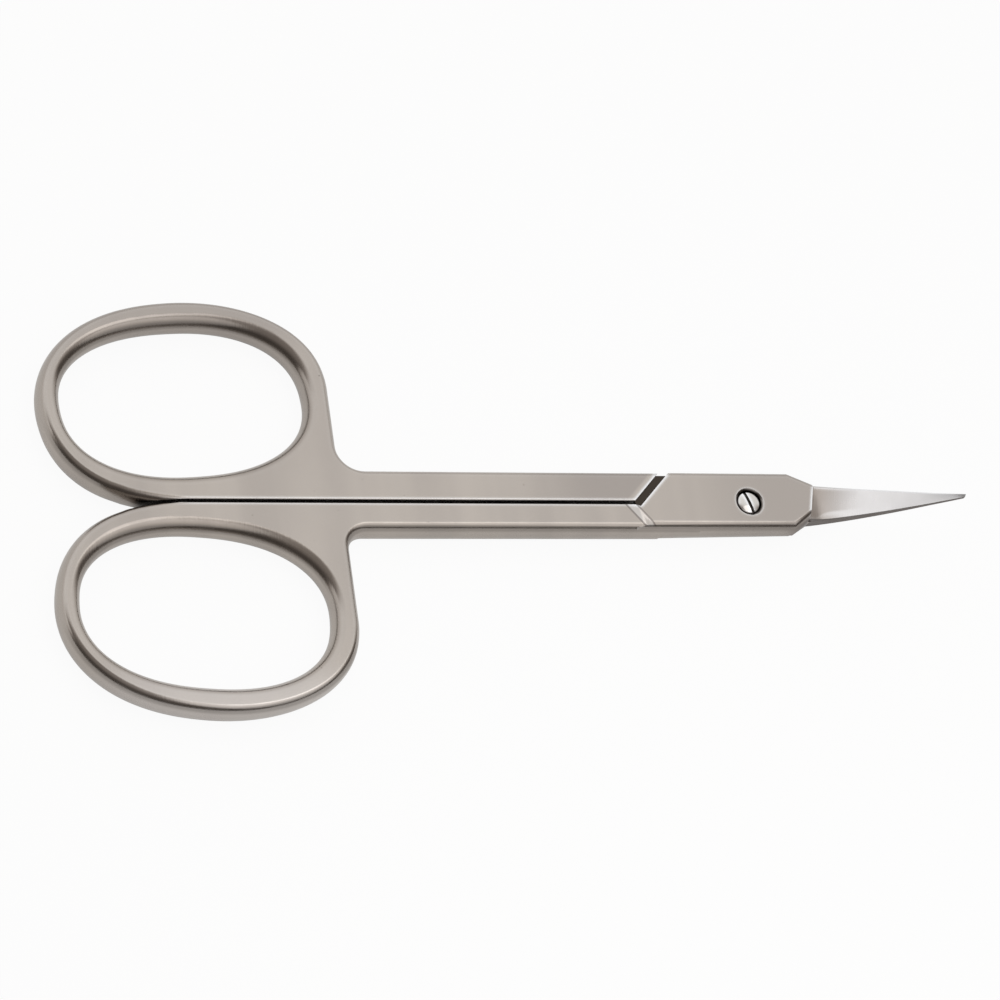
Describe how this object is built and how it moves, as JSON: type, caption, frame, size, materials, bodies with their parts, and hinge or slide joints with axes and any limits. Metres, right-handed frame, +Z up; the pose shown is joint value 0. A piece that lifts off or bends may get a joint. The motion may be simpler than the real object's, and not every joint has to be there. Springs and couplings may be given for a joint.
{
  "type": "curved cuticle scissors",
  "caption": "Small steel cuticle scissors with oval finger rings, a slotted pivot screw and slender blades that curve upwards.",
  "frame": {"origin": "on the pivot axis, at the flush end of the pivot screw in the flat underside", "axes": "+X from the pivot to the blade tips, +Y towards the back half's finger ring, +Z up along the pivot axis to the screw's head"},
  "size_m": [0.0896, 0.0414, 0.0053],
  "materials": {
    "satin_steel": "satin brushed stainless steel",
    "polished_steel": "polished stainless steel"
  },
  "bodies": {
    "back": {"back_half": "satin_steel", "pivot_screw": "polished_steel"},
    "front": {"front_half": "satin_steel"}
  },
  "joints": [
    {"name": "pivot", "type": "hinge", "parent": "back", "child": "front", "pos_m": [0, 0, 0], "axis": [0, 0, 1], "range_deg": [0, 45]}
  ]
}
